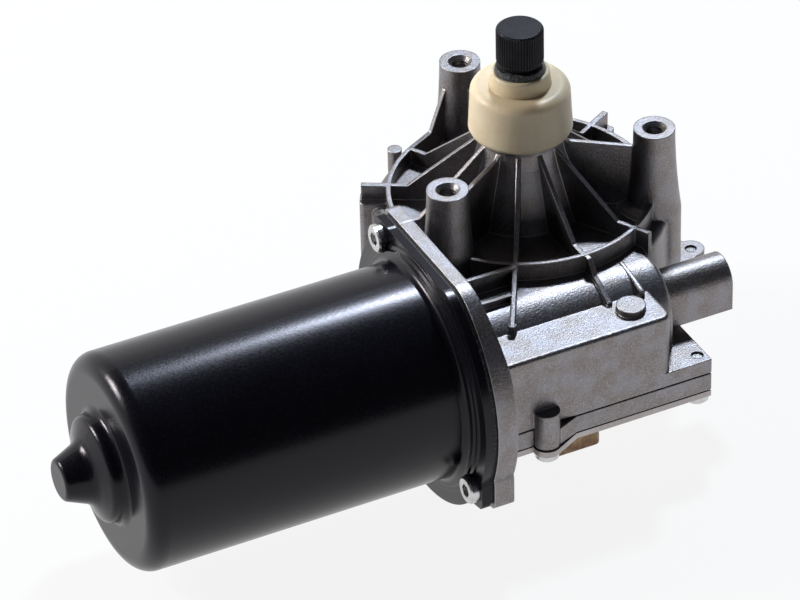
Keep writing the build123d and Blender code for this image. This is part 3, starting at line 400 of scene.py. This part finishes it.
def makeTubeFin(values):
    outline = values["outline"]
    bpy.ops.object.select_all(action="DESELECT")
    bpy.ops.mesh.primitive_circle_add(
        vertices=len(outline), radius=mm, fill_type="NGON", rotation=(0, math.radians(90), 0),
    )
    fin = bpy.context.object
    placeInMesh()
    corners = [point.co.copy() for point in fin.data.vertices]
    bpy.ops.object.mode_set(mode="EDIT")
    left = (values["middle"] - values["halfWidth"]) * mm
    for corner, (y, z) in zip(corners, outline):
        pickPoints(fin, lambda place: (place - corner).length < samePlace)
        bpy.ops.transform.translate(value=Vector((left, y * mm, z * mm)) - corner)
    pickAll("FACE")
    across = {"value": (2 * values["halfWidth"] * mm, 0, 0)}
    bpy.ops.mesh.extrude_region_move(TRANSFORM_OT_translate=across)
    pickAll("FACE")
    bpy.ops.mesh.normals_make_consistent(inside=False)
    bpy.ops.object.mode_set(mode="OBJECT")
    soft = fin.modifiers.new("soft", "BEVEL")
    soft.width = values["rounding"] * mm
    soft.segments = values["roundingSteps"]
    bpy.ops.object.modifier_apply(modifier="soft")
    keepPiece(fin, "tubeFin", "housing", "cast_aluminium", values["smoothAngle"])


makeTubeFin(tubeFin)
print("tube fin made")

# Ringed sleeves for the threads in the three mounting posts; sizes in millimetres
postThread = dict(
    postCircle=36.3, angles=(90, 210, 330), top=-0.9, turns=14, pitch=1.0,
    root=2.52, crest=2.2, wall=0.3, sides=32, smoothAngle=30,
)


def makePostThreads(values):
    bpy.ops.object.select_all(action="DESELECT")
    bpy.ops.mesh.primitive_circle_add(
        vertices=values["sides"], radius=values["root"] * mm, location=(0, 0, values["top"] * mm),
    )
    pattern = bpy.context.object
    placeInMesh()
    bpy.ops.object.mode_set(mode="EDIT")
    pickAll("EDGE")
    drop = {"value": (0, 0, -values["pitch"] / 2 * mm)}
    narrow = values["crest"] / values["root"]
    for turn in range(values["turns"]):
        for factor in (narrow, 1 / narrow):
            bpy.ops.mesh.extrude_region_move(TRANSFORM_OT_translate=drop)
            bpy.ops.transform.resize(value=(factor, factor, 1))
    # The tube is open, and its wall grows outwards from the bore
    pickAll("FACE")
    bpy.ops.mesh.normals_make_consistent(inside=True)
    bpy.ops.object.mode_set(mode="OBJECT")
    wall = pattern.modifiers.new("wall", "SOLIDIFY")
    wall.thickness = values["wall"] * mm
    wall.offset = 1
    bpy.ops.object.modifier_apply(modifier="wall")
    for index, angle in enumerate(values["angles"], start=1):
        bpy.ops.object.select_all(action="DESELECT")
        pattern.select_set(True)
        bpy.context.view_layer.objects.active = pattern
        bpy.ops.object.duplicate()
        thread = bpy.context.object
        turn = math.radians(angle)
        reach = values["postCircle"] * mm
        bpy.ops.transform.translate(value=(reach * math.cos(turn), reach * math.sin(turn), 0))
        placeInMesh()
        keepPiece(thread, f"postThread_{index}", "housing", "cast_aluminium", values["smoothAngle"])
    bpy.data.meshes.remove(pattern.data)


makePostThreads(postThread)
print("post threads made:", len(postThread["angles"]))

# Beads pressed into the underside of the base plate; sizes in millimetres
plateBeads = dict(
    radii=(10, 27), halfWidth=1.7, height=0.7, plateLow=-60.0, sunk=0.15, flatTop=0.02,
    sides=20, steps=96, smoothAngle=40,
)


def makePlateBeads(values):
    level = (values["plateLow"] + values["sunk"]) * mm
    hang = (values["height"] + values["sunk"]) / values["halfWidth"]
    for index, radius in enumerate(values["radii"], start=1):
        bpy.ops.object.select_all(action="DESELECT")
        bpy.ops.mesh.primitive_circle_add(
            vertices=values["sides"], radius=values["halfWidth"] * mm, fill_type="NGON",
            location=(radius * mm, 0, level), rotation=(math.radians(90), 0, 0),
        )
        bead = bpy.context.object
        placeInMesh()
        bpy.ops.object.mode_set(mode="EDIT")
        # Nearly flat where it meets the plate, and shallow below
        pickPoints(bead, lambda place: place.z > level + samePlace)
        bpy.ops.transform.resize(value=(1, 1, values["flatTop"]), center_override=(0, 0, level))
        pickPoints(bead, lambda place: place.z < level - samePlace)
        bpy.ops.transform.resize(value=(1, 1, hang), center_override=(0, 0, level))
        pickAll("FACE")
        bpy.ops.mesh.delete(type="ONLY_FACE")
        pickAll("VERT")
        bpy.ops.mesh.spin(
            steps=values["steps"], angle=math.radians(360), center=(0, 0, 0), axis=(0, 0, 1),
        )
        bpy.ops.mesh.select_all(action="SELECT")
        bpy.ops.mesh.remove_doubles(threshold=samePlace)
        bpy.ops.mesh.normals_make_consistent(inside=False)
        bpy.ops.object.mode_set(mode="OBJECT")
        keepPiece(bead, f"plateBead_{index}", "housing", "base_plate", values["smoothAngle"])


makePlateBeads(plateBeads)
print("plate beads made:", len(plateBeads["radii"]))

# Camera at the working view; angles in degrees, lengths in metres, lens and sensor in millimetres
cameraView = dict(
    azimuth=-25.673, elevation=35.574, roll=-1.432,
    distance=1.4, shiftRight=-0.032683, shiftUp=-0.047436, nearest=0.05, furthest=60,
    lens=232.155, sensor=36,
)


def placeCamera(values):
    turn, lift, roll = (math.radians(values[key]) for key in ("azimuth", "elevation", "roll"))
    back = Vector((math.sin(turn) * math.cos(lift), -math.cos(turn) * math.cos(lift), math.sin(lift)))
    level = Vector((math.cos(turn), math.sin(turn), 0))
    upright = back.cross(level)
    right = math.cos(roll) * level + math.sin(roll) * upright
    up = math.cos(roll) * upright - math.sin(roll) * level
    lensData = bpy.data.cameras.new("viewCamera")
    lensData.lens = values["lens"]
    lensData.sensor_width = values["sensor"]
    lensData.clip_start = values["nearest"]
    lensData.clip_end = values["furthest"]
    camera = bpy.data.objects.new("viewCamera", lensData)
    bpy.context.scene.collection.objects.link(camera)
    spot = right * values["shiftRight"] + up * values["shiftUp"] + back * values["distance"]
    camera.matrix_world = Matrix.Translation(spot) @ Matrix((right, up, back)).transposed().to_4x4()
    bpy.context.scene.camera = camera


placeCamera(cameraView)
print("camera placed")


def seenRays(tree):
    # 1 for rays from the camera and for those in reflections and glass
    path = addNode(tree, "LightPath")
    seen = path.outputs["Is Camera Ray"]
    for kind in ("Is Glossy Ray", "Is Transmission Ray"):
        either = addNode(tree, "Math", operation="MAXIMUM")
        tree.links.new(seen, either.inputs[0])
        tree.links.new(path.outputs[kind], either.inputs[1])
        seen = either.outputs[0]
    return seen


def mixShaders(tree, amount, first, second):
    mix = addNode(tree, "MixShader")
    for slot, value in enumerate((amount, first, second)):
        tree.links.new(value, mix.inputs[slot])
    return mix.outputs[0]


# Pale floor: white to the camera and in reflections, with the object's shadow kept
floorLook = dict(
    half=4.0, colour=(0.82, 0.82, 0.83),
    white=(1.0, 1.0, 1.0), shown=0.88,  # how much of the white those rays see
)


def makeFloor(values):
    bpy.ops.object.select_all(action="DESELECT")
    bpy.ops.mesh.primitive_plane_add(size=2 * values["half"], location=(0, 0, cadLow.z))
    floor = bpy.context.object
    floor.name = "studioFloor"
    placeInMesh()
    paint = bpy.data.materials.new("floorPaint")
    paint.use_nodes = True
    tree = paint.node_tree
    tree.nodes.clear()
    matte = addNode(tree, "BsdfDiffuse", {"Color": (*values["colour"], 1)})
    glow = addNode(tree, "Emission", {"Color": (*values["white"], 1), "Strength": 1.0})
    amount = multiply(tree, seenRays(tree), values["shown"])
    above = mixShaders(tree, amount, matte.outputs[0], glow.outputs[0])
    # Clear from below, so that the underside can be looked at
    behind = addNode(tree, "NewGeometry").outputs["Backfacing"]
    clear = addNode(tree, "BsdfTransparent").outputs[0]
    end = addNode(tree, "OutputMaterial")
    tree.links.new(mixShaders(tree, behind, above, clear), end.inputs["Surface"])
    floor.data.materials.append(paint)


makeFloor(floorLook)
print("floor laid")

# Room: white along the horizon and behind, dim in front and above
roomLook = dict(
    white=(1.0, 1.0, 1.0), dim=(0.055, 0.057, 0.068), strength=0.88,
    dimSide=(0.2, -0.75, 0.62), dimSpan=(-0.45, 0.2), heightSpan=(-0.02, 0.05),
)


def makeRoom(values):
    room = bpy.data.worlds.new("studioRoom")
    bpy.context.scene.world = room
    room.use_nodes = True
    tree = room.node_tree
    tree.nodes.clear()
    toward = addNode(tree, "TexCoord").outputs["Generated"]
    height = addNode(tree, "SeparateXYZ")
    tree.links.new(toward, height.inputs[0])
    side = addNode(tree, "VectorMath", {1: values["dimSide"]}, operation="DOT_PRODUCT")
    tree.links.new(toward, side.inputs[0])
    facing = remap(tree, side.outputs["Value"], *values["dimSpan"])
    raised = remap(tree, height.outputs["Z"], *values["heightSpan"])
    walls = blendColour(tree, values["white"], values["dim"], multiply(tree, facing, raised))
    back = addNode(tree, "Background", {"Strength": values["strength"]})
    tree.links.new(walls, back.inputs["Color"])
    end = addNode(tree, "OutputWorld")
    tree.links.new(back.outputs[0], end.inputs["Surface"])


makeRoom(roomLook)

# Softboxes in metres and watts: each stands toward a direction from its target
softboxes = {
    "keySoftbox": dict(
        target=(-0.02, -0.02, -0.02), toward=(0.36, 0.47, 0.81), distance=1.1,
        size=(0.12, 0.12), power=9.2, tint=(0.76, 0.87, 1.0),
    ),
    "leftSoftbox": dict(
        target=(-0.02, 0.0, -0.02), toward=(-0.74, 0.50, 0.45), distance=1.2,
        size=(0.32, 0.32), power=12, tint=(1.0, 0.98, 0.95),
    ),
}


def makeSoftbox(name, values):
    lampData = bpy.data.lights.new(name, "AREA")
    lampData.shape = "RECTANGLE"
    lampData.size, lampData.size_y = values["size"]
    lampData.energy = values["power"]
    lampData.color = values["tint"]
    lamp = bpy.data.objects.new(name, lampData)
    bpy.context.scene.collection.objects.link(lamp)
    toward = Vector(values["toward"]).normalized()
    lamp.location = Vector(values["target"]) + toward * values["distance"]
    lamp.rotation_euler = toward.to_track_quat("Z", "Y").to_euler()


for name, values in softboxes.items():
    makeSoftbox(name, values)
print("studio lit:", len(softboxes), "softboxes")

bpy.context.scene.view_settings.view_transform = "Standard"
